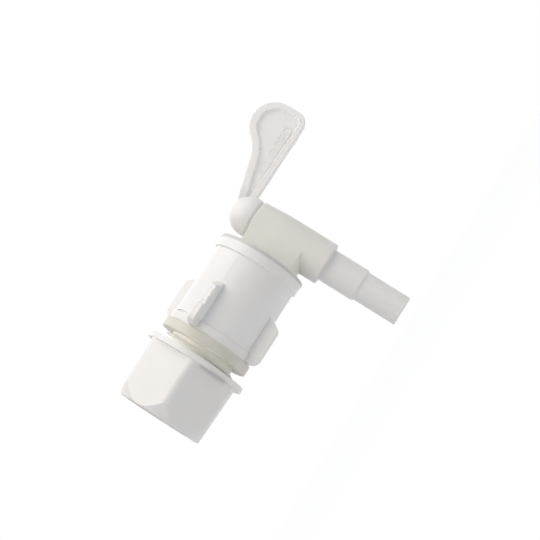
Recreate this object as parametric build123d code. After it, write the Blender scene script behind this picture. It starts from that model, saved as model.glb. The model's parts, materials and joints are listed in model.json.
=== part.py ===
from build123d import *
import math
import os

# Fermenter tap: a taper-plug tap with a lever on top, a spout below and a shank through the vessel's wall.
# Frame: the origin is on the shank's axis, in the washer's face that meets the vessel's wall.
# +Y runs along the shank into the vessel, +Z runs up the barrel from the spout to the lever.
# Every size is in millimetres and every angle in degrees.

# Shank and wall
shank_radius = 12.6  # about the thread's mean radius
thread_height = 0.6  # from the shank to the thread's crest
shank_length = 26.0  # from the wall face into the vessel
inlet_radius = 9.5
inlet_end_wall = 3.0  # left between the inlet's end and the rim's upper edge
mouth_chamfer = 0.8

# Sealing washer
washer_radius = 17.2
washer_thickness = 3.9
washer_crest_clearance = 0.25
washer_edge = 0.45

# Collar
collar_length = 35.2
collar_radius = 16.15
rim_radius = 16.95
rim_height = 4.8
rim_edge = 0.35
rim_root = 0.4  # concave corner under the rim
lid_height = 1.1  # of the band at the rim's top
lid_overhang = 0.15
dome_height = 2.5
foot_ring_radius = 16.75
foot_ring_height = 3.2
foot_ring_edge = 0.3

# Nick where the foot ring's upper edge meets the collar
nick_start = 42.7  # from the side of the tap towards the lever
nick_sweep = 18.9
nick_height = 0.4
nick_depth = 1.2

# Wings of the collar
wing_count = 4
wing_turn = 21.7  # of the first wing, from the side of the tap towards the lever
wing_reach = 21.0
wing_thickness = 3.0
wing_tip_thickness = 2.4
wing_length = 15.0  # along the outer edge
wing_top_slope = 33.0
wing_foot_corner = 3.0
wing_shoulder_corner = 2.0
wing_foot_gap = 0.2  # from a wing's lower end to the washer

# The first wing's outer edge is torn: each point has its height up the wing and its depth
tear = ((7.7, 0.0), (8.4, 1.5), (9.3, 1.0), (10.6, 0.7), (12.0, 1.1), (13.3, 0.8), (14.6, 1.3), (16.0, 1.0))
tear_tilt = 20.0  # the tear is deeper on the lever's side

# Barrel and neck
barrel_height = 11.1  # of the barrel's axis above the rim
barrel_radius = 8.1
barrel_lever_radius = 7.4
barrel_lever_end = 10.2
barrel_spout_end = 20.6
barrel_edge = 0.5
neck_set_in = 0.15  # of the neck's sides from the barrel's
neck_end_radius = 13.7  # of the neck's end towards the spout, about the shank's axis
neck_edge = 0.4
neck_sink = 1.0  # how far the neck's foot lies below the rim's upper edge

# Plug and spout
plug_clearance = 0.05
plug_lever_radius = 5.4
plug_spout_radius = 6.4
plug_shoulder = 0.7  # how far the plug stands out of the barrel to carry the lever
port_radius = 4.0
tang_width = 6.2
tang_length = 4.6
tang_clearance = 0.05
spout_radius = 6.2
spout_step_length = 13.9
spout_step_chamfer = 1.1
nozzle_radius = 5.6
nozzle_length = 16.85
nozzle_edge = 0.3
spout_bore_radius = 4.1

# Lever
hub_radius = 7.4
hub_skirt = 1.6
hub_edge = 0.6
paddle_reach = 42.8
paddle_lower = 2.7  # of the paddle's straight lower edge above the hub's flat face
paddle_head_radius = 9.5
paddle_head_height = 11.97  # of the head's centre above the hub's flat face
paddle_rise = 0.29  # slope of the upper edge
paddle_root_height = 7.94  # of the upper edge above the hub's flat face, at the hub's axis
paddle_waist = 17.0  # concave radius between the upper edge and the head
paddle_corner = 4.3
paddle_thickness = 4.0
paddle_edge = 0.5
panel_border = 2.0
panel_drop = 0.8  # how much wider the border is along the upper edge
panel_start = 5.0  # from the hub's axis, inside the hub
panel_draft = 35.0  # slope of the panel's walls
web_thickness = 2.2  # of the paddle inside its raised border

# Back nut
nut_gap = 3.9  # free length of shank between the washer and the nut
nut_flange_radius = 19.3
nut_flange_thickness = 2.1
nut_flange_edge = 0.2
nut_length = 24.6
nut_across_flats = 33.8
nut_draft = 1.7
nut_corner = 3.0
nut_end_radius = 16.2  # of the turned end, in the end face
nut_end_slope = 65.0  # of the turned end, from the end face
nut_clearance = 0.1
nut_turn = 3.0  # of a corner from the side of the tap towards the spout

# Places worked out from the sizes
washer_top = -washer_thickness
foot_top = washer_top - foot_ring_height
wing_foot = washer_top - wing_foot_gap
rim_top = washer_top - collar_length
rim_bottom = rim_top + rim_height
barrel_y = rim_top - barrel_height
hub_face = barrel_lever_end + plug_shoulder
spout_step = barrel_spout_end + spout_step_length
nozzle_start = spout_step + spout_step_chamfer
tip = nozzle_start + nozzle_length
plug_slope = (plug_spout_radius - plug_lever_radius) / (hub_face + barrel_spout_end)
inlet_end = rim_top + inlet_end_wall
thread_crest_radius = shank_radius + thread_height

barrel_place = Pos(0, barrel_y, 0)
paddle_plane = Plane(origin=(0, barrel_y, hub_face), x_dir=(0, -1, 0), z_dir=(-1, 0, 0))
shank_plane = Plane(origin=(0, 0, 0), x_dir=(1, 0, 0), z_dir=(0, 1, 0))


def along_shank(y):
    """A plane across the shank at y, with its normal towards the vessel and its own y towards the spout."""
    return shank_plane.offset(y)


def shank_cylinder(radius, start, end):
    return along_shank(start) * Cylinder(radius, end - start, align=(Align.CENTER, Align.CENTER, Align.MIN))


def turned_from_side(angle):
    """A turn about the shank that takes +X to the side of the tap, and on towards the lever by an angle."""
    return Rot(0, 180 + angle, 0)


def rounded(face, corners, radius):
    """A flat face with each of the named corners rounded."""
    for corner in corners:
        vertex = face.vertices().sort_by_distance((corner[0], corner[1], 0))[0]
        face = fillet(vertex, radius)
    return face


def collar_and_shank():
    """The domed collar with its rim and foot ring, and the shank below it, turned about the shank's axis."""
    lid_radius = rim_radius + lid_overhang
    lid_bottom = rim_top + lid_height
    dome_radius = (lid_radius**2 + dome_height**2) / (2 * dome_height)
    half_turn = math.asin(lid_radius / dome_radius) / 2
    apex = (0, rim_top - dome_height)
    dome_middle = (dome_radius * math.sin(half_turn), apex[1] + dome_radius * (1 - math.cos(half_turn)))
    outline = Polyline(
        (lid_radius, rim_top),
        (lid_radius, lid_bottom),
        (rim_radius, lid_bottom),
        (rim_radius, rim_bottom),
        (collar_radius, rim_bottom),
        (collar_radius, foot_top),
        (foot_ring_radius, foot_top),
        (foot_ring_radius, washer_top),
        (shank_radius, washer_top),
        (shank_radius, shank_length - mouth_chamfer),
        (shank_radius - mouth_chamfer, shank_length),
        (0, shank_length),
        apex,
    )
    dome = ThreePointArc(apex, dome_middle, (lid_radius, rim_top))
    section = make_face(outline + dome)
    section = rounded(section, [(lid_radius, rim_top), (rim_radius, rim_bottom)], rim_edge)
    section = rounded(section, [(collar_radius, rim_bottom)], rim_root)
    section = rounded(section, [(foot_ring_radius, foot_top)], foot_ring_edge)
    return revolve(section, Axis.Y)


def nick():
    """The cut that takes a short length of the foot ring's upper edge away."""
    inner = foot_ring_radius - nick_depth
    outer = foot_ring_radius + nick_depth
    upper = foot_top - foot_ring_edge
    lower = foot_top + nick_height
    outline = Polyline((inner, upper), (outer, upper), (outer, lower), (inner, lower), close=True)
    return turned_from_side(nick_start) * revolve(make_face(outline), Axis.Y, revolution_arc=nick_sweep)


def wing():
    """One wing, pointing along +X, with a slanted top and rounded outer corners."""
    inner = collar_radius - wing_thickness
    shoulder = wing_foot - wing_length
    top = shoulder - (wing_reach - inner) * math.tan(math.radians(wing_top_slope))
    outline = Polyline(
        (inner, wing_foot), (wing_reach, wing_foot), (wing_reach, shoulder), (inner, top), close=True
    )
    foot_corner = min(wing_foot_corner, wing_reach - collar_radius)
    face = rounded(make_face(outline), [(wing_reach, wing_foot)], foot_corner)
    face = rounded(face, [(wing_reach, shoulder)], wing_shoulder_corner)
    plate = extrude(face, wing_thickness / 2, both=True)
    section = Polyline(
        (inner, -wing_thickness / 2),
        (collar_radius, -wing_thickness / 2),
        (wing_reach, -wing_tip_thickness / 2),
        (wing_reach, wing_tip_thickness / 2),
        (collar_radius, wing_thickness / 2),
        (inner, wing_thickness / 2),
        close=True,
    )
    wedge = extrude(Plane.XZ * make_face(section), -top)
    return plate & wedge


def torn_wing():
    """The first wing, with its outer edge torn away above a notch."""
    torn = [(wing_reach - depth, wing_foot - height) for height, depth in tear]
    outside = wing_reach + wing_thickness
    outline = Polyline(*torn, (outside, torn[-1][1]), (outside, torn[0][1]), close=True)
    cutter = extrude(make_face(outline), wing_thickness, both=True)
    tip_place = Pos(wing_reach, 0, 0)
    return wing() - tip_place * Rot(0, tear_tilt, 0) * tip_place.inverse() * cutter


def barrel():
    outline = Polyline(
        (0, -barrel_spout_end),
        (barrel_radius, -barrel_spout_end),
        (barrel_radius, 0),
        (barrel_lever_radius, barrel_lever_end),
        (0, barrel_lever_end),
        close=True,
    )
    ends = [(barrel_radius, -barrel_spout_end), (barrel_lever_radius, barrel_lever_end)]
    section = rounded(make_face(outline), ends, barrel_edge)
    return barrel_place * revolve(Plane.XZ * section, Axis.Z)


def neck():
    """The upright block between the collar's dome and the barrel, a little narrower than the barrel."""
    lever_half = barrel_lever_radius - neck_set_in
    spout_half = barrel_radius - neck_set_in
    lever_end = barrel_lever_end - barrel_edge
    arc_start = math.sqrt(neck_end_radius**2 - spout_half**2)
    sides = Polyline(
        (spout_half, arc_start),
        (spout_half, 0),
        (lever_half, -lever_end),
        (-lever_half, -lever_end),
        (-spout_half, 0),
        (-spout_half, arc_start),
    )
    spout_end = ThreePointArc((-spout_half, arc_start), (0, neck_end_radius), (spout_half, arc_start))
    plan = make_face(sides + spout_end)
    plan = rounded(plan, [(spout_half, arc_start), (-spout_half, arc_start)], neck_edge)
    return extrude(along_shank(barrel_y) * plan, rim_top + neck_sink - barrel_y)


def tap_body():
    body = collar_and_shank() + barrel() + neck() - nick()
    for index in range(wing_count):
        blade = torn_wing() if index == 0 else wing()
        body += turned_from_side(wing_turn + index * 360 / wing_count) * blade
    plug_room = plug_outline(plug_clearance, barrel_lever_end, -barrel_spout_end)
    body -= barrel_place * plug_room
    body -= shank_cylinder(inlet_radius, inlet_end, shank_length)
    body -= shank_cylinder(port_radius, barrel_y, inlet_end)
    return body


def plug_outline(clearance, top, bottom):
    """The plug's taper as a solid, larger by a clearance, between two heights on the barrel's axis."""
    top_radius = plug_lever_radius + plug_slope * (hub_face - top) + clearance
    bottom_radius = plug_lever_radius + plug_slope * (hub_face - bottom) + clearance
    return Pos(0, 0, (top + bottom) / 2) * Cone(bottom_radius, top_radius, top - bottom)


def plug_spout():
    """The taper plug with its tang and side port, and the hollow stepped spout below it."""
    taper = plug_outline(0, hub_face, -barrel_spout_end)
    spout_outline = Polyline(
        (0, -barrel_spout_end),
        (spout_radius, -barrel_spout_end),
        (spout_radius, -spout_step),
        (nozzle_radius, -nozzle_start),
        (nozzle_radius, -tip + nozzle_edge),
        (nozzle_radius - nozzle_edge, -tip),
        (0, -tip),
        close=True,
    )
    spout = revolve(Plane.XZ * make_face(spout_outline), Axis.Z)
    tang = Pos(0, 0, hub_face + tang_length / 2) * Box(tang_width, tang_width, tang_length)
    solid = taper + spout + tang
    bore_top = port_radius
    bore_length = tip + bore_top
    solid -= Pos(0, 0, bore_top - bore_length / 2) * Cylinder(spout_bore_radius, bore_length)
    port = Rot(0, -90, 0) * Cylinder(
        port_radius, 2 * plug_spout_radius, align=(Align.CENTER, Align.CENTER, Align.MIN)
    )
    return barrel_place * (solid - port)


def paddle_face():
    """The paddle's outline in its own plane: outward from the hub, and up from the hub's flat face."""
    head_centre = (paddle_reach - paddle_head_radius, paddle_head_height)
    upper_end = paddle_root_height + paddle_rise * head_centre[0]
    blade = make_face(
        Polyline(
            (0, paddle_lower),
            (paddle_reach, paddle_lower),
            (paddle_reach, paddle_head_height),
            head_centre,
            (head_centre[0], upper_end),
            (0, paddle_root_height),
            close=True,
        )
    )
    blade = rounded(blade, [(paddle_reach, paddle_lower)], paddle_corner)
    face = blade + Pos(*head_centre) * Circle(paddle_head_radius)
    return rounded(face, [(head_centre[0] - paddle_head_radius, upper_end)], paddle_waist)


def lever():
    """The round hub and the paddle, with a sunk panel on both faces and a socket for the plug's tang."""
    crown_top = (0, hub_skirt + hub_radius)
    side = Polyline(crown_top, (0, 0), (hub_radius, 0), (hub_radius, hub_skirt))
    diagonal = hub_radius * math.sqrt(0.5)
    crown = ThreePointArc((hub_radius, hub_skirt), (diagonal, hub_skirt + diagonal), crown_top)
    hub_section = rounded(make_face(side + crown), [(hub_radius, 0)], hub_edge)
    hub = revolve(Plane.XZ * hub_section, Axis.Z)
    outline = paddle_face()
    paddle = extrude(outline, paddle_thickness / 2, both=True)
    flat_faces = paddle.faces().filter_by(Axis.Z)
    paddle = fillet(flat_faces.edges(), paddle_edge)
    inner = offset(outline, -panel_border, kind=Kind.INTERSECTION)
    panel_limit = Pos(panel_start, 0) * Rectangle(
        2 * paddle_reach, 4 * paddle_head_height, align=(Align.MIN, Align.CENTER)
    )
    panel = inner & Pos(0, -panel_drop) * inner & panel_limit
    depth = (paddle_thickness - web_thickness) / 2
    recess = extrude(Pos(0, 0, paddle_thickness / 2) * panel, depth, dir=(0, 0, -1), taper=panel_draft)
    paddle -= recess + mirror(recess, about=Plane.XY)
    solid = Pos(0, barrel_y, hub_face) * hub + paddle_plane * paddle
    socket_width = tang_width + 2 * tang_clearance
    socket = Pos(0, barrel_y, hub_face + tang_length / 2) * Box(socket_width, socket_width, tang_length)
    return solid - socket


def ring(inner, outer, start, end, edge):
    """A ring about the shank's axis, with its outer edges rounded."""
    outline = Polyline((inner, start), (outer, start), (outer, end), (inner, end), close=True)
    return revolve(rounded(make_face(outline), [(outer, start), (outer, end)], edge), Axis.Y)


def sealing_washer():
    return ring(thread_crest_radius + washer_crest_clearance, washer_radius, washer_top, 0, washer_edge)


def back_nut():
    """The hexagon nut: tapered sides with rounded corners, an end turned to a cone and a round flange."""
    flange_end = nut_gap + nut_flange_thickness
    nut_end = nut_gap + nut_length
    hexagon = RegularPolygon(nut_across_flats / 2, 6, major_radius=False, rotation=-nut_turn)
    block = extrude(along_shank(flange_end) * hexagon, nut_end - flange_end, taper=nut_draft)
    side_edges = block.edges().filter_by(lambda edge: abs(edge.tangent_at(0.5).Y) > 0.5)
    block = fillet(side_edges, nut_corner)
    cone_height = nut_end - flange_end
    cone_radius = nut_end_radius + cone_height / math.tan(math.radians(nut_end_slope))
    block &= along_shank(flange_end) * Cone(
        cone_radius, nut_end_radius, cone_height, align=(Align.CENTER, Align.CENTER, Align.MIN)
    )
    bore_radius = shank_radius + nut_clearance
    flange = ring(bore_radius, nut_flange_radius, nut_gap, flange_end, nut_flange_edge)
    bore = shank_cylinder(bore_radius, nut_gap, nut_end)
    mouth = along_shank(nut_end - mouth_chamfer) * Cone(
        bore_radius,
        bore_radius + mouth_chamfer,
        mouth_chamfer,
        align=(Align.CENTER, Align.CENTER, Align.MIN),
    )
    return block + flange - bore - mouth


pieces = {
    "tap_body": tap_body(),
    "plug_spout": plug_spout(),
    "lever": lever(),
    "sealing_washer": sealing_washer(),
    "back_nut": back_nut(),
}

os.makedirs("parts", exist_ok=True)
for name, solid in pieces.items():
    export_step(solid, os.path.join("parts", name + ".step"))
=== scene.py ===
import json
import math

import bpy
from bpy.props import FloatProperty, FloatVectorProperty, IntProperty, PointerProperty, StringProperty
from mathutils import Matrix, Vector


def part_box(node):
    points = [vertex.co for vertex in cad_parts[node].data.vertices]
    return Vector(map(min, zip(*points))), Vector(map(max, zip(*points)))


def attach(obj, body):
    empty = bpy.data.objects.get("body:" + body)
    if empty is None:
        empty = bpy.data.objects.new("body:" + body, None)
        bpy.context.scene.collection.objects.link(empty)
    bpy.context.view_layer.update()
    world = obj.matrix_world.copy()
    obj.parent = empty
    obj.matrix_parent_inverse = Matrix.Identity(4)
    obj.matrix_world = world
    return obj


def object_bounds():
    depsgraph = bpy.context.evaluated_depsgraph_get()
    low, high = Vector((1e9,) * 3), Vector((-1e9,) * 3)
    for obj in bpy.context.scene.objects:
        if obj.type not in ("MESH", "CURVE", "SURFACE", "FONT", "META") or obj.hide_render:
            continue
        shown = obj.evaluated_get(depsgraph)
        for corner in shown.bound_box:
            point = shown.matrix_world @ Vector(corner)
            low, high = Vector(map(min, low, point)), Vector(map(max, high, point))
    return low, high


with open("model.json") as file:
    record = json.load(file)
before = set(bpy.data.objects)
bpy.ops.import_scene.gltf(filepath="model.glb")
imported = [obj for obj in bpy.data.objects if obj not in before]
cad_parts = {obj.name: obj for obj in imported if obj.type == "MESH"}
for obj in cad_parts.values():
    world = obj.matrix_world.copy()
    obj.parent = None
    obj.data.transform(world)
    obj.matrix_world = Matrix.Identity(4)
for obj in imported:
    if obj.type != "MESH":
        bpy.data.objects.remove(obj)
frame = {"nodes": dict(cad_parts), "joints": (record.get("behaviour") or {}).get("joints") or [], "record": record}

bl_info = {
    "name": "Fermenter tap",
    "version": (1, 0, 0),
    "blender": (4, 5, 0),
    "location": "3D View > Sidebar > Tap",
    "description": "Finishes, threads, lettering and a studio stage for a moulded fermenter tap",
    "category": "Object",
}

CAD_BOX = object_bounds()
MM = 0.001
FAR = 200.0  # millimetres, past every side of the tap

# Places read from the frame, in metres
JOINTS = {joint["name"]: joint for joint in frame["joints"]}
COLOURS = {entry["slot"]: entry["base_color"] for entry in frame["record"]["materials"]}
BARREL_Y = JOINTS["lever_turn"]["pos_m"][1]
WASHER_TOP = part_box("sealing_washer")[0].y
SHANK_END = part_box("tap_body")[1].y
NUT_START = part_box("back_nut")[0].y
NUT_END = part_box("back_nut")[1].y
LEVER_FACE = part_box("lever")[0].z


def a_length(name, description, millimetres):
    """A property that holds a length, with its default in millimetres."""
    return FloatProperty(name=name, description=description, unit="LENGTH", default=millimetres * MM)


def an_angle(name, description, degrees):
    """A property that holds an angle, with its default in degrees."""
    return FloatProperty(name=name, description=description, subtype="ANGLE", default=math.radians(degrees))


def a_colour(name, description, default):
    """A property that holds a colour."""
    return FloatVectorProperty(name=name, description=description, subtype="COLOR", default=default)


def a_share(name, description, default):
    """A property that holds a value from 0 to 1."""
    return FloatProperty(
        name=name, description=description, subtype="FACTOR", default=default, min=0, max=1
    )


def tinted(colour, red, green, blue):
    """A plain colour, multiplied by a tint."""
    return (colour[0] * red, colour[1] * green, colour[2] * blue)


class TapFinish(bpy.types.PropertyGroup):
    """Colours and surface of the mouldings and the washer"""

    body_colour: a_colour("Body", "White of the body", COLOURS["body_plastic"])
    spout_colour: a_colour(
        "Spout", "White of the plug and spout", tinted(COLOURS["spout_plastic"], 1.03, 1.025, 1.03)
    )
    lever_colour: a_colour("Lever", "White of the lever", COLOURS["lever_plastic"])
    nut_colour: a_colour("Back nut", "White of the back nut", COLOURS["nut_plastic"])
    washer_colour: a_colour("Washer", "Cream of the rubber", COLOURS["washer_rubber"])
    speck_colour: a_colour("Specks", "Dark specks in the plastic", (0.30, 0.28, 0.24))
    gloss: a_share("Roughness", "Mean roughness of the plastic", 0.40)
    translucency: a_share("Translucency", "Light under the skin", 0.10)
    grain: a_length("Grain", "Size of the mould's grain", 0.45)


class TapThread(bpy.types.PropertyGroup):
    """The coarse moulded thread of the shank and the nut"""

    pitch: a_length("Pitch", "Advance of one turn", 3.6)
    mean_radius: a_length("Mean radius", "Radius of the plain shank", 12.6)
    depth: a_length("Half depth", "From the mean radius to a crest", 0.6)
    sink: a_length("Sink", "How far a ridge's foot lies inside its wall", 0.15)
    crest_width: a_length("Crest", "Width of the shank's crest", 2.4)
    foot_width: a_length("Foot", "Width of the shank's ridge", 3.3)
    lean: a_length("Lean", "How far the shank's crest lies towards the collar", 0.3)
    nut_crest_width: a_length("Nut crest", "Width of the nut's crest", 0.3)
    nut_foot_width: a_length("Nut foot", "Width of the nut's ridge", 0.9)
    ridge_at: a_length("Ridge at", "Where a ridge crosses the shank's upper side", 1.85)
    run_out: FloatProperty(
        name="Run-out", description="Turns over which a ridge fades at its ends", default=0.6
    )
    steps: IntProperty(name="Steps", description="Straight steps in a turn", default=96, min=12)


class TapWords(bpy.types.PropertyGroup):
    """Raised words in the lever's two panels"""

    shut: StringProperty(
        name="Shut", description="Word the user sees when the tap is shut", default="CLOSED"
    )
    opened: StringProperty(
        name="Open", description="Word the user sees when the tap is open", default="OPEN"
    )
    height: a_length("Height", "Height of a letter", 3.75)
    advance: a_length("Advance", "Length of word for each letter", 3.4)
    relief: a_length("Relief", "How far the letters stand out", 0.09)
    middle: a_length("Middle", "From the hub's axis to the words' middle", 26.1)
    foot: a_length("Foot", "From the hub's flat face to the letters' foot", 5.3)
    web: a_length("Web", "Thickness of the lever in its panels", 2.2)


class TapShoulder(bpy.types.PropertyGroup):
    """The ring of the plug that shows between the lever's hub and the barrel"""

    inner: a_length("Inner radius", "Inside the plug", 5.2)
    outer: a_length("Outer radius", "Radius of the ring", 6.9)
    height: a_length("Height", "Below the hub's flat face", 0.62)
    steps: IntProperty(name="Steps", description="Straight steps round the ring", default=96, min=12)


class TapLip(bpy.types.PropertyGroup):
    """The washer's inner lip, pressed against the thread"""

    inner: a_length("Inner radius", "Inside the shank", 12.5)
    outer: a_length("Outer radius", "Inside the washer", 13.9)
    depth: a_length("Depth", "From the wall to the lip's face", 0.1)
    thickness: a_length("Thickness", "Thickness of the lip", 0.9)
    steps: IntProperty(name="Steps", description="Straight steps round the lip", default=96, min=12)


class TapSeam(bpy.types.PropertyGroup):
    """The mould's parting line on the collar"""

    turn: an_angle("Turn", "From the tap's side towards the lever", 21.7)
    radius: a_length("Radius", "Radius of the collar", 16.15)
    start: a_length("Start", "From the wall to the wing's top", 21.5)
    end: a_length("End", "From the wall to the rim", 34.5)
    width: a_length("Width", "Width of the ridge", 0.45)
    height: a_length("Height", "Height of the ridge", 0.05)


class TapStage(bpy.types.PropertyGroup):
    """Camera, lamps and floor"""

    distance: a_length("Distance", "Camera to origin plane", 450.0)
    azimuth: an_angle("Azimuth", "Round the tap", 260.40)
    elevation: an_angle("Elevation", "Above the horizon", -5.85)
    roll: an_angle("Roll", "Turn of the picture", -58.01)
    slide: FloatVectorProperty(
        name="Slide",
        description="Origin's place in the picture plane",
        size=2,
        unit="LENGTH",
        default=(-23.83 * MM, -28.77 * MM),
    )
    lens: FloatProperty(name="Lens", description="Focal length", unit="CAMERA", default=84.28)
    floor_drop: a_length("Floor drop", "Floor below the spout's tip", 50.0)
    power: FloatProperty(
        name="Lamps", description="Power that each lamp takes a share of", unit="POWER", default=2.2
    )
    lamp_distance: a_length("Lamp distance", "Lamps to the tap's middle", 700.0)
    lamp_size: a_length("Lamp size", "Side of each lamp", 500.0)
    sky: FloatProperty(name="Sky", description="Strength of the light from all round", default=0.19)


def add_node(tree, kind, settings=None, values=None):
    """A new node with its settings as attributes and its unlinked inputs set by name or number."""
    made = tree.nodes.new(kind)
    for name, value in (settings or {}).items():
        setattr(made, name, value)
    for name, value in (values or {}).items():
        made.inputs[name].default_value = value
    return made


def blank_material(name):
    material = bpy.data.materials.new(name)
    material.use_nodes = True
    material.node_tree.nodes.clear()
    return material, material.node_tree


def noise(tree, place, scale, detail=2.0, roughness=0.5):
    made = add_node(
        tree, "ShaderNodeTexNoise", values={"Scale": scale, "Detail": detail, "Roughness": roughness}
    )
    tree.links.new(place, made.inputs["Vector"])
    return made.outputs["Fac"]


def mapped(tree, value, low, high, to_low, to_high):
    """A value stretched from one range to another."""
    made = add_node(
        tree,
        "ShaderNodeMapRange",
        values={"From Min": low, "From Max": high, "To Min": to_low, "To Max": to_high},
    )
    tree.links.new(value, made.inputs["Value"])
    return made.outputs["Result"]


def mixed(tree, factor, first, second):
    """Two colours mixed; each is a socket or a plain colour."""
    made = add_node(tree, "ShaderNodeMix", {"data_type": "RGBA"})
    tree.links.new(factor, made.inputs["Factor"])
    for socket, colour in ((made.inputs["A"], first), (made.inputs["B"], second)):
        if isinstance(colour, bpy.types.NodeSocket):
            tree.links.new(colour, socket)
        else:
            socket.default_value = (*colour, 1.0)
    return made.outputs["Result"]


def block(tree, place, low, high, soft):
    """1 inside a box with soft sides, in millimetres, and 0 outside it."""
    apart = add_node(tree, "ShaderNodeSeparateXYZ")
    tree.links.new(place, apart.inputs["Vector"])
    inside = None
    for axis, start, end in zip("XYZ", low, high):
        along = apart.outputs[axis]
        rise = mapped(tree, along, (start - soft) * MM, start * MM, 0.0, 1.0)
        fall = mapped(tree, along, end * MM, (end + soft) * MM, 1.0, 0.0)
        for side in (rise, fall):
            if inside is None:
                inside = side
                continue
            both = add_node(tree, "ShaderNodeMath", {"operation": "MULTIPLY"})
            tree.links.new(inside, both.inputs[0])
            tree.links.new(side, both.inputs[1])
            inside = both.outputs["Value"]
    return inside


def dot(tree, place, centre, radius):
    """1 inside a small ball, in millimetres, and 0 outside it."""
    middle = [value * MM for value in centre]
    apart = add_node(tree, "ShaderNodeVectorMath", {"operation": "DISTANCE"}, {1: middle})
    tree.links.new(place, apart.inputs[0])
    return mapped(tree, apart.outputs["Value"], radius * 0.5 * MM, radius * MM, 1.0, 0.0)


def tinted_blocks(tree, place, base, blocks):
    """The colour of a socket, multiplied by a tint inside each block."""
    for low, high, soft, tint in blocks:
        change = add_node(tree, "ShaderNodeMix", {"data_type": "RGBA", "blend_type": "MULTIPLY"})
        change.inputs["B"].default_value = (*tint, 1.0)
        tree.links.new(block(tree, place, low, high, soft), change.inputs["Factor"])
        tree.links.new(base, change.inputs["A"])
        base = change.outputs["Result"]
    return base


# Scales of the patterns in the materials, in cells to a metre
CLOUDS = 60.0
ROUGH_PATCHES = 120.0
SMEARS = 140.0
RIPPLES = 220.0
SPECKS = 230.0
TORN_LUMPS = 700.0
PITS = 1400.0


def moulded_plastic(name, colour, finish, blocks=(), dots=(), torn=None):
    """Satin white plastic: soft clouding, a fine mould grain, a few dark specks and light under the skin.

    Each block multiplies the colour inside it by a tint; some tints are tones of the plastic and some are
    painted light and shade. Each dot is a single dark mark, and the surface is rough inside the torn block.
    """
    material, tree = blank_material(name)
    place = add_node(tree, "ShaderNodeTexCoord").outputs["Object"]
    cloud = mapped(tree, noise(tree, place, CLOUDS, 3.0), 0.35, 0.65, 0.0, 1.0)
    base = mixed(tree, cloud, colour, tinted(colour, 0.985, 0.98, 0.96))
    cells = add_node(tree, "ShaderNodeTexVoronoi", values={"Scale": SPECKS})
    tree.links.new(place, cells.inputs["Vector"])
    point = mapped(tree, cells.outputs["Distance"], 0.02, 0.06, 1.0, 0.0)
    chosen = mapped(tree, cells.outputs["Color"], 0.80, 0.82, 0.0, 0.4)
    speck = add_node(tree, "ShaderNodeMath", {"operation": "MULTIPLY"})
    tree.links.new(point, speck.inputs[0])
    tree.links.new(chosen, speck.inputs[1])
    base = mixed(tree, speck.outputs["Value"], base, tuple(finish.speck_colour))
    base = tinted_blocks(tree, place, base, blocks)
    for centre, radius in dots:
        mark = mapped(tree, dot(tree, place, centre, radius), 0.0, 1.0, 0.0, 0.5)
        base = mixed(tree, mark, base, tuple(finish.speck_colour))
    skin = noise(tree, place, 1.0 / finish.grain, 2.0)
    ripple = noise(tree, place, RIPPLES, 2.0)
    grain_bump = add_node(tree, "ShaderNodeBump", values={"Strength": 0.05, "Distance": 0.05 * MM})
    ripple_bump = add_node(tree, "ShaderNodeBump", values={"Strength": 0.05, "Distance": 0.15 * MM})
    tree.links.new(skin, grain_bump.inputs["Height"])
    tree.links.new(ripple, ripple_bump.inputs["Height"])
    tree.links.new(grain_bump.outputs["Normal"], ripple_bump.inputs["Normal"])
    normal = ripple_bump.outputs["Normal"]
    if torn:
        lumps = add_node(tree, "ShaderNodeMath", {"operation": "MULTIPLY"})
        tree.links.new(noise(tree, place, TORN_LUMPS, 3.0), lumps.inputs[0])
        tree.links.new(block(tree, place, *torn), lumps.inputs[1])
        torn_bump = add_node(tree, "ShaderNodeBump", values={"Strength": 0.7, "Distance": 0.6 * MM})
        tree.links.new(lumps.outputs["Value"], torn_bump.inputs["Height"])
        tree.links.new(normal, torn_bump.inputs["Normal"])
        normal = torn_bump.outputs["Normal"]
    shader = add_node(
        tree,
        "ShaderNodeBsdfPrincipled",
        values={
            "IOR": 1.49,
            "Subsurface Weight": finish.translucency,
            "Subsurface Radius": (1.0, 0.9, 0.75),
            "Subsurface Scale": 2.0 * MM,
        },
    )
    tree.links.new(base, shader.inputs["Base Color"])
    patches = noise(tree, place, ROUGH_PATCHES, 3.0)
    rough = mapped(tree, patches, 0.3, 0.7, finish.gloss - 0.05, finish.gloss + 0.05)
    tree.links.new(rough, shader.inputs["Roughness"])
    tree.links.new(normal, shader.inputs["Normal"])
    output = add_node(tree, "ShaderNodeOutputMaterial")
    tree.links.new(shader.outputs["BSDF"], output.inputs["Surface"])
    return material


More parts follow.
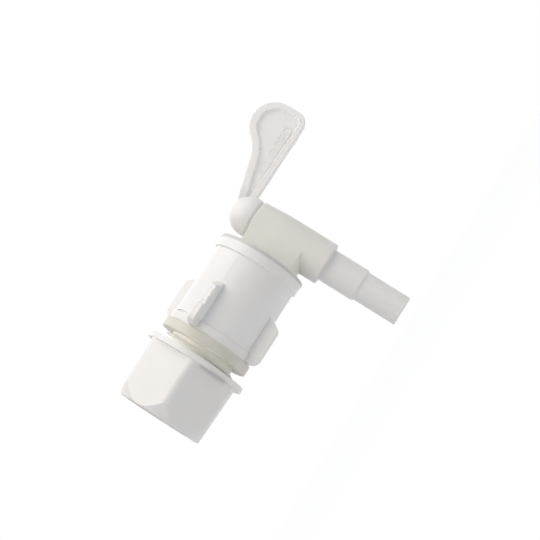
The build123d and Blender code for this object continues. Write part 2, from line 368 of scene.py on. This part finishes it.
def washer_rubber(name, colour):
    """Dull cream rubber with faint smears and pits, tinted lighter on the face towards the vessel."""
    material, tree = blank_material(name)
    place = add_node(tree, "ShaderNodeTexCoord").outputs["Object"]
    smear = mapped(tree, noise(tree, place, SMEARS, 4.0), 0.35, 0.7, 0.0, 1.0)
    base = mixed(tree, smear, tinted(colour, 0.92, 0.92, 0.93), tinted(colour, 0.87, 0.86, 0.84))
    # the face towards the vessel is tinted lighter
    vessel_face_tint = ((-FAR, -0.1, -FAR), (FAR, FAR, FAR), 0.2, (1.25, 1.25, 1.28))
    base = tinted_blocks(tree, place, base, [vessel_face_tint])
    pits = add_node(tree, "ShaderNodeBump", values={"Strength": 0.25, "Distance": 0.08 * MM})
    tree.links.new(noise(tree, place, PITS, 3.0), pits.inputs["Height"])
    shader = add_node(
        tree,
        "ShaderNodeBsdfPrincipled",
        values={
            "IOR": 1.5,
            "Subsurface Weight": 0.08,
            "Subsurface Radius": (1.0, 0.85, 0.55),
            "Subsurface Scale": 1.5 * MM,
        },
    )
    tree.links.new(base, shader.inputs["Base Color"])
    tree.links.new(mapped(tree, smear, 0.0, 1.0, 0.52, 0.66), shader.inputs["Roughness"])
    tree.links.new(pits.outputs["Normal"], shader.inputs["Normal"])
    output = add_node(tree, "ShaderNodeOutputMaterial")
    tree.links.new(shader.outputs["BSDF"], output.inputs["Surface"])
    return material


def add_piece(name, mesh, body):
    """Links a finished mesh as an object that rides a body."""
    piece = bpy.data.objects.new(name, mesh)
    bpy.context.scene.collection.objects.link(piece)
    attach(piece, body)
    return piece


def plain_mesh(holder, name):
    """The evaluated shape of an object as a mesh of its own; the object is taken out of the scene."""
    bpy.context.scene.collection.objects.link(holder)
    graph = bpy.context.evaluated_depsgraph_get()
    mesh = bpy.data.meshes.new_from_object(holder.evaluated_get(graph))
    mesh.name = name
    bpy.data.objects.remove(holder)
    return mesh


THREAD_INPUTS = (
    ("Radius", "Float"),
    ("Pitch", "Float"),
    ("Turns", "Float"),
    ("Steps", "Int"),
    ("Height", "Float"),
    ("Inner width", "Float"),
    ("Outer width", "Float"),
    ("Lean", "Float"),
    ("Start", "Float"),
    ("Phase", "Float"),
    ("Run-out", "Float"),
    ("Material", "Material"),
)


def thread_group():
    """Node group: a spiral swept by a trapezoid that fades at both ends, laid along +Y."""
    tree = bpy.data.node_groups.new("moulded_thread", "GeometryNodeTree")
    for name, kind in THREAD_INPUTS:
        tree.interface.new_socket(name, in_out="INPUT", socket_type="NodeSocket" + kind)
    tree.interface.new_socket("Geometry", in_out="OUTPUT", socket_type="NodeSocketGeometry")
    given = add_node(tree, "NodeGroupInput").outputs
    link = tree.links.new

    def worked_out(operation, first, second):
        made = add_node(tree, "ShaderNodeMath", {"operation": operation})
        for socket, value in zip(made.inputs, (first, second)):
            if isinstance(value, bpy.types.NodeSocket):
                link(value, socket)
            else:
                socket.default_value = value
        return made.outputs["Value"]

    spiral = add_node(tree, "GeometryNodeCurveSpiral")
    link(given["Steps"], spiral.inputs["Resolution"])
    link(given["Turns"], spiral.inputs["Rotations"])
    link(given["Radius"], spiral.inputs["Start Radius"])
    link(given["Radius"], spiral.inputs["End Radius"])
    link(worked_out("MULTIPLY", given["Pitch"], given["Turns"]), spiral.inputs["Height"])
    upright = add_node(tree, "GeometryNodeSetCurveNormal", {"mode": "Z_UP"})
    link(spiral.outputs["Curve"], upright.inputs["Curve"])

    along = add_node(tree, "GeometryNodeSplineParameter").outputs["Factor"]
    nearest_end = worked_out("MINIMUM", along, worked_out("SUBTRACT", 1.0, along))
    faded = worked_out("DIVIDE", worked_out("MULTIPLY", nearest_end, given["Turns"]), given["Run-out"])
    size = worked_out("MAXIMUM", worked_out("MINIMUM", faded, 1.0), 0.05)

    profile = add_node(tree, "GeometryNodeCurvePrimitiveQuadrilateral", {"mode": "TRAPEZOID"})
    link(given["Lean"], profile.inputs["Offset"])
    link(given["Height"], profile.inputs["Height"])
    link(given["Inner width"], profile.inputs["Bottom Width"])
    link(given["Outer width"], profile.inputs["Top Width"])
    swept = add_node(tree, "GeometryNodeCurveToMesh", values={"Fill Caps": True})
    link(upright.outputs["Curve"], swept.inputs["Curve"])
    link(profile.outputs["Curve"], swept.inputs["Profile Curve"])
    link(size, swept.inputs["Scale"])

    turn = add_node(tree, "ShaderNodeCombineXYZ")
    link(given["Phase"], turn.inputs["Z"])
    turned = add_node(tree, "GeometryNodeTransform")
    link(swept.outputs["Mesh"], turned.inputs["Geometry"])
    link(turn.outputs["Vector"], turned.inputs["Rotation"])
    shift = add_node(tree, "ShaderNodeCombineXYZ")
    link(given["Start"], shift.inputs["Y"])
    laid = add_node(tree, "GeometryNodeTransform", values={"Rotation": (-math.pi / 2, 0.0, 0.0)})
    link(turned.outputs["Geometry"], laid.inputs["Geometry"])
    link(shift.outputs["Vector"], laid.inputs["Translation"])
    real = add_node(tree, "GeometryNodeRealizeInstances")
    link(laid.outputs["Geometry"], real.inputs["Geometry"])
    dressed = add_node(tree, "GeometryNodeSetMaterial")
    link(real.outputs["Geometry"], dressed.inputs["Geometry"])
    link(given["Material"], dressed.inputs["Material"])
    link(dressed.outputs["Geometry"], add_node(tree, "NodeGroupOutput").inputs["Geometry"])
    return tree


def thread_mesh(name, group, values):
    """A ridge made by the thread's node group from named inputs."""
    holder = bpy.data.objects.new(name, bpy.data.meshes.new(name + "_holder"))
    modifier = holder.modifiers.new("thread", "NODES")
    modifier.node_group = group
    for item in group.interface.items_tree:
        if item.in_out == "INPUT":
            modifier[item.identifier] = values[item.name]
    mesh = plain_mesh(holder, name)
    mesh.shade_smooth()
    mesh.set_sharp_from_angle(angle=math.radians(70))
    return mesh


def word_mesh(name, word, words, material):
    """A raised word in a flat mesh of its own, centred along its foot."""
    font = bpy.data.curves.new(name, "FONT")
    font.body = word
    font.align_x = "CENTER"
    font.extrude = 0.5
    font.bevel_depth = 0.02
    font.bevel_resolution = 2
    mesh = plain_mesh(bpy.data.objects.new(name, font), name)
    corners = [vertex.co for vertex in mesh.vertices]
    low = Vector([min(corner[axis] for corner in corners) for axis in range(3)])
    high = Vector([max(corner[axis] for corner in corners) for axis in range(3)])
    size = high - low
    wanted = Vector((words.advance * len(word), words.height, 2 * words.relief))
    mesh.transform(Matrix.Translation(-Vector(((low.x + high.x) / 2, low.y, (low.z + high.z) / 2))))
    mesh.transform(Matrix.Diagonal([wanted[axis] / size[axis] for axis in range(3)] + [1.0]))
    mesh.materials.clear()
    mesh.materials.append(material)
    return mesh


def dress(node, material):
    """Puts a material on a CAD node."""
    mesh = frame["nodes"][node].data
    mesh.materials.clear()
    mesh.materials.append(material)


# Tints, marks, painted light and painted shade of each moulding, in millimetres. A block has two corners,
# a softness and a tint, a dot has a place and a radius, and the torn block has two corners and a softness.
TINTS_MARKS_AND_PAINTED_LIGHT = {
    "tap_body": {
        "blocks": (
            ((-FAR, -39.05, -FAR), (FAR, -38.05, FAR), 0.1, (0.74, 0.74, 0.74)),  # the lid's edge
            ((-FAR, -37.9, -FAR), (FAR, -7.2, FAR), 0.1, (1.02, 1.025, 1.04)),  # the collar
            ((-FAR, -FAR, -FAR), (FAR, -39.3, FAR), 0.1, (0.98, 0.98, 0.945)),  # the barrel
            # the shank: the plastic's own cream, plus painted light that lifts the shade in the gap under the
            # washer
            ((-FAR, -0.2, -FAR), (FAR, FAR, FAR), 0.1, (1.17, 1.165, 1.13)),  # the shank
        ),
        "torn": ((-22.0, -20.0, 5.6), (-17.6, -5.5, 9.4), 0.6),
    },
    "plug_spout": {},
    "lever": {
        "blocks": (
            # painted light: the paddle is tinted lighter than the hub of the same moulding
            ((-FAR, -FAR, -FAR), (FAR, -59.0, FAR), 3.0, (1.12, 1.12, 1.12)),  # the paddle
            # painted shade: the panel's lower wall is tinted darker
            ((-FAR, -90.8, 15.65), (FAR, -58.0, 16.2), 0.5, (0.84, 0.84, 0.83)),  # the panel's lower wall
        ),
        "dots": (((-1.1, -73.6, 22.8), 0.3), ((-1.8, -86.6, 28.6), 0.4)),
    },
    "back_nut": {
        "blocks": (
            # painted shadow: the hex flat just under the flange is tinted darker
            ((-17.0, 6.0, -13.0), (-5.0, 6.3, -4.0), 1.4, (0.78, 0.78, 0.79)),  # under the flange
            # painted light: the flange's face is tinted lighter
            ((-FAR, 3.0, -FAR), (FAR, 3.95, FAR), 0.05, (1.14, 1.14, 1.14)),  # the flange's face
        ),
        "dots": (((-12.0, 28.3, 10.4), 0.45),),
    },
}


class TAP_OT_mouldings(bpy.types.Operator):
    """Gives the four white mouldings their plastic, with its painted light and shade"""

    bl_idname = "tap.mouldings"
    bl_label = "Finish the mouldings"

    def execute(self, context):
        finish = context.scene.tap_finish
        for node, colour in (
            ("tap_body", finish.body_colour),
            ("plug_spout", finish.spout_colour),
            ("lever", finish.lever_colour),
            ("back_nut", finish.nut_colour),
        ):
            dress(node, moulded_plastic(node + "_plastic", tuple(colour), finish, **TINTS_MARKS_AND_PAINTED_LIGHT[node]))
        return {"FINISHED"}


class TAP_OT_washer(bpy.types.Operator):
    """Gives the sealing washer its rubber"""

    bl_idname = "tap.washer"
    bl_label = "Finish the washer"

    def execute(self, context):
        dress("sealing_washer", washer_rubber("washer_rubber", tuple(context.scene.tap_finish.washer_colour)))
        return {"FINISHED"}


class TAP_OT_threads(bpy.types.Operator):
    """Winds the thread round the shank and inside the nut"""

    bl_idname = "tap.threads"
    bl_label = "Wind the threads"

    def execute(self, context):
        thread = context.scene.tap_thread
        group = thread_group()
        half = thread.pitch / 2
        ridges = (
            ("shank_thread", "body", "tap_body", WASHER_TOP + half, SHANK_END - half, 0.0),
            ("nut_thread", "nut", "back_nut", NUT_START + half, NUT_END - half, half),
        )
        for name, body, node, start, end, lag in ridges:
            outside = body == "body"
            outward = 1 if outside else -1
            foot = thread.mean_radius - outward * thread.sink
            top = thread.mean_radius + outward * thread.depth
            values = {
                "Radius": (foot + top) / 2,
                "Pitch": thread.pitch,
                "Turns": (end - start) / thread.pitch,
                "Steps": thread.steps,
                "Height": abs(top - foot),
                "Inner width": thread.foot_width if outside else thread.nut_crest_width,
                "Outer width": thread.crest_width if outside else thread.nut_foot_width,
                "Lean": thread.lean if outside else 0.0,
                "Start": start,
                "Phase": -math.pi / 2 - 2 * math.pi * (thread.ridge_at + lag - start) / thread.pitch,
                "Run-out": thread.run_out,
                "Material": frame["nodes"][node].data.materials[0],
            }
            mesh = thread_mesh(name, group, values)
            add_piece(name, mesh, body)
        return {"FINISHED"}


class TAP_OT_words(bpy.types.Operator):
    """Raises a word in each of the lever's panels"""

    bl_idname = "tap.words"
    bl_label = "Raise the words"

    def execute(self, context):
        words = context.scene.tap_words
        material = frame["nodes"]["lever"].data.materials[0]
        for name, word, side in (("word_shut", words.shut, -1), ("word_open", words.opened, 1)):
            mesh = word_mesh(name, word, words, material)
            axes = Matrix(((0, side, 0), (0, 0, 1), (side, 0, 0))).transposed().to_4x4()
            place = (side * words.web / 2, BARREL_Y - words.middle, LEVER_FACE + words.foot)
            mesh.transform(Matrix.Translation(place) @ axes)
            add_piece(name, mesh, "plug")
        return {"FINISHED"}


def ring_mesh(name, ring, height, place, material):
    """A square ring that stands on the plane z = 0 about the Z axis, moved to its place."""
    section = [(ring.inner, 0.0), (ring.outer, 0.0), (ring.outer, height), (ring.inner, height)]
    count = len(section)
    points = []
    faces = []
    for step in range(ring.steps):
        turn = 2 * math.pi * step / ring.steps
        points += [(radius * math.cos(turn), radius * math.sin(turn), z) for radius, z in section]
        after = (step + 1) % ring.steps
        for i in range(count):
            j = (i + 1) % count
            faces.append((step * count + i, after * count + i, after * count + j, step * count + j))
    mesh = bpy.data.meshes.new(name)
    mesh.from_pydata(points, [], faces)
    mesh.transform(place)
    mesh.shade_smooth()
    mesh.set_sharp_from_angle(angle=math.radians(30))
    mesh.materials.append(material)
    return mesh


class TAP_OT_shoulder(bpy.types.Operator):
    """Turns the plug's shoulder ring under the lever's hub"""

    bl_idname = "tap.shoulder"
    bl_label = "Turn the shoulder"

    def execute(self, context):
        ring = context.scene.tap_shoulder
        place = Matrix.Translation((0.0, BARREL_Y, LEVER_FACE - ring.height))
        material = frame["nodes"]["plug_spout"].data.materials[0]
        mesh = ring_mesh("shoulder_ring", ring, ring.height, place, material)
        add_piece("shoulder_ring", mesh, "plug")
        return {"FINISHED"}


class TAP_OT_lip(bpy.types.Operator):
    """Closes the washer on the thread with its lip"""

    bl_idname = "tap.lip"
    bl_label = "Close the washer's lip"

    def execute(self, context):
        lip = context.scene.tap_lip
        along_shank = Matrix.Rotation(-math.pi / 2, 4, "X")
        place = Matrix.Translation((0.0, -lip.depth - lip.thickness, 0.0)) @ along_shank
        material = frame["nodes"]["sealing_washer"].data.materials[0]
        mesh = ring_mesh("washer_lip", lip, lip.thickness, place, material)
        add_piece("washer_lip", mesh, "body")
        return {"FINISHED"}


class TAP_OT_seams(bpy.types.Operator):
    """Lays the mould's parting line along two sides of the collar"""

    bl_idname = "tap.seams"
    bl_label = "Lay the parting lines"

    def execute(self, context):
        seam = context.scene.tap_seam
        section = [
            (-seam.width / 2, -seam.height),
            (-seam.width / 4, seam.height / 2),
            (0.0, seam.height),
            (seam.width / 4, seam.height / 2),
            (seam.width / 2, -seam.height),
        ]
        count = len(section)
        for name, turn in (("seam_near", seam.turn), ("seam_far", seam.turn + math.pi)):
            ends = (seam.start, seam.end)
            points = [(seam.radius + lift, -along, across) for along in ends for across, lift in section]
            pairs = [(i, (i + 1) % count) for i in range(count)]
            faces = [(i, j, j + count, i + count) for i, j in pairs]
            faces += [tuple(reversed(range(count))), tuple(range(count, 2 * count))]
            mesh = bpy.data.meshes.new(name)
            mesh.from_pydata(points, [], faces)
            mesh.transform(Matrix.Rotation(math.pi + turn, 4, "Y"))
            mesh.shade_smooth()
            mesh.set_sharp_from_angle(angle=math.radians(60))
            mesh.materials.append(frame["nodes"]["tap_body"].data.materials[0])
            add_piece(name, mesh, "body")
        return {"FINISHED"}


def seen_white(tree):
    """1 for what the camera, a reflection or a clear body sees, and 0 for light that falls on the tap."""
    path = add_node(tree, "ShaderNodeLightPath")
    found = path.outputs["Is Camera Ray"]
    for name in ("Is Glossy Ray", "Is Transmission Ray"):
        either = add_node(tree, "ShaderNodeMath", {"operation": "MAXIMUM"})
        tree.links.new(found, either.inputs[0])
        tree.links.new(path.outputs[name], either.inputs[1])
        found = either.outputs["Value"]
    return found


def add_world(stage):
    world = bpy.data.worlds.new("studio")
    world.use_nodes = True
    tree = world.node_tree
    tree.nodes.clear()
    sky = add_node(
        tree, "ShaderNodeBackground", values={"Color": (0.66, 0.83, 1.0, 1.0), "Strength": stage.sky}
    )
    white = add_node(tree, "ShaderNodeBackground", values={"Color": (1.0, 1.0, 1.0, 1.0), "Strength": 1.0})
    choice = add_node(tree, "ShaderNodeMixShader")
    tree.links.new(seen_white(tree), choice.inputs["Fac"])
    tree.links.new(sky.outputs["Background"], choice.inputs[1])
    tree.links.new(white.outputs["Background"], choice.inputs[2])
    output = add_node(tree, "ShaderNodeOutputWorld")
    tree.links.new(choice.outputs["Shader"], output.inputs["Surface"])
    bpy.context.scene.world = world


def add_floor(stage):
    """A wide pale floor, white to the camera apart from the tap's own shadow."""
    reach = 4.0
    white_share = 0.93
    height = CAD_BOX[0].z - stage.floor_drop
    mesh = bpy.data.meshes.new("floor")
    mesh.from_pydata(
        [(-reach, -reach, height), (reach, -reach, height), (reach, reach, height), (-reach, reach, height)],
        [],
        [(0, 1, 2, 3)],
    )
    material, tree = blank_material("floor_white")
    matt = add_node(tree, "ShaderNodeBsdfDiffuse", values={"Color": (0.9, 0.9, 0.9, 1.0)})
    white = add_node(tree, "ShaderNodeEmission", values={"Strength": 1.05})
    share = add_node(tree, "ShaderNodeMath", {"operation": "MULTIPLY"}, {1: white_share})
    tree.links.new(seen_white(tree), share.inputs[0])
    choice = add_node(tree, "ShaderNodeMixShader")
    tree.links.new(share.outputs["Value"], choice.inputs["Fac"])
    tree.links.new(matt.outputs["BSDF"], choice.inputs[1])
    tree.links.new(white.outputs["Emission"], choice.inputs[2])
    output = add_node(tree, "ShaderNodeOutputMaterial")
    tree.links.new(choice.outputs["Shader"], output.inputs["Surface"])
    mesh.materials.append(material)
    floor = bpy.data.objects.new("floor", mesh)
    bpy.context.scene.collection.objects.link(floor)


# Each lamp: its direction from the tap, its share of the power and its colour
LAMPS = (
    ("key", (-0.55, 0.20, 0.80), 0.95, (1.0, 0.91, 0.74)),
    ("top", (-0.10, 0.0, 1.0), 0.60, (0.95, 0.94, 1.0)),
    ("inner", (-0.55, 0.80, 0.20), 0.22, (0.86, 0.80, 1.0)),
    ("outer", (-0.35, -0.60, 0.70), 0.76, (1.0, 0.95, 0.95)),
    ("far", (0.75, 0.0, 0.65), 0.22, (1.0, 0.97, 0.93)),
)


def add_lamp(name, direction, distance, size, power, colour):
    """A square soft lamp that looks at the middle of the tap."""
    middle = (CAD_BOX[0] + CAD_BOX[1]) / 2
    lamp = bpy.data.lights.new(name, "AREA")
    lamp.size = size
    lamp.energy = power
    lamp.color = colour
    holder = bpy.data.objects.new(name, lamp)
    away = Vector(direction).normalized()
    holder.location = middle + away * distance
    holder.rotation_euler = away.to_track_quat("Z", "Y").to_euler()
    bpy.context.scene.collection.objects.link(holder)


def add_camera(stage):
    azimuth, elevation, roll = stage.azimuth, stage.elevation, stage.roll
    back = Vector(
        (
            math.sin(azimuth) * math.cos(elevation),
            -math.cos(azimuth) * math.cos(elevation),
            math.sin(elevation),
        )
    )
    level = Vector((0, 0, 1)).cross(back).normalized()
    upright = back.cross(level)
    right = level * math.cos(roll) + upright * math.sin(roll)
    up = upright * math.cos(roll) - level * math.sin(roll)
    camera = bpy.data.cameras.new("camera")
    camera.lens = stage.lens
    camera.sensor_width = 36.0
    camera.clip_start = 0.01
    holder = bpy.data.objects.new("camera", camera)
    place = back * stage.distance - right * stage.slide[0] - up * stage.slide[1]
    holder.matrix_world = Matrix.Translation(place) @ Matrix((right, up, back)).transposed().to_4x4()
    bpy.context.scene.collection.objects.link(holder)
    bpy.context.scene.camera = holder


class TAP_OT_stage(bpy.types.Operator):
    """Sets up the floor, the lamps and the camera"""

    bl_idname = "tap.stage"
    bl_label = "Set the stage"

    def execute(self, context):
        stage = context.scene.tap_stage
        context.scene.view_settings.view_transform = "Standard"
        add_world(stage)
        add_floor(stage)
        for name, direction, share, colour in LAMPS:
            add_lamp(name, direction, stage.lamp_distance, stage.lamp_size, share * stage.power, colour)
        add_camera(stage)
        return {"FINISHED"}


class TAP_PT_sidebar(bpy.types.Panel):
    """The tap's steps and sizes"""

    bl_idname = "TAP_PT_sidebar"
    bl_label = "Fermenter tap"
    bl_space_type = "VIEW_3D"
    bl_region_type = "UI"
    bl_category = "Tap"

    def draw(self, context):
        for step in STEPS:
            self.layout.operator(step.bl_idname)
        for group in GROUPS:
            box = self.layout.box()
            settings = getattr(context.scene, group)
            for name in settings.__annotations__:
                box.prop(settings, name)


STEPS = (
    TAP_OT_mouldings,
    TAP_OT_washer,
    TAP_OT_threads,
    TAP_OT_words,
    TAP_OT_shoulder,
    TAP_OT_lip,
    TAP_OT_seams,
    TAP_OT_stage,
)
GROUPS = {
    "tap_finish": TapFinish,
    "tap_thread": TapThread,
    "tap_words": TapWords,
    "tap_shoulder": TapShoulder,
    "tap_lip": TapLip,
    "tap_seam": TapSeam,
    "tap_stage": TapStage,
}


def register():
    for made in (*GROUPS.values(), *STEPS, TAP_PT_sidebar):
        bpy.utils.register_class(made)
    for name, group in GROUPS.items():
        setattr(bpy.types.Scene, name, PointerProperty(type=group))


def unregister():
    for name in GROUPS:
        delattr(bpy.types.Scene, name)
    for made in reversed((*GROUPS.values(), *STEPS, TAP_PT_sidebar)):
        bpy.utils.unregister_class(made)


def main():
    register()
    for step in STEPS:
        family, name = step.bl_idname.split(".")
        getattr(getattr(bpy.ops, family), name)()


if __name__ == "__main__":
    main()
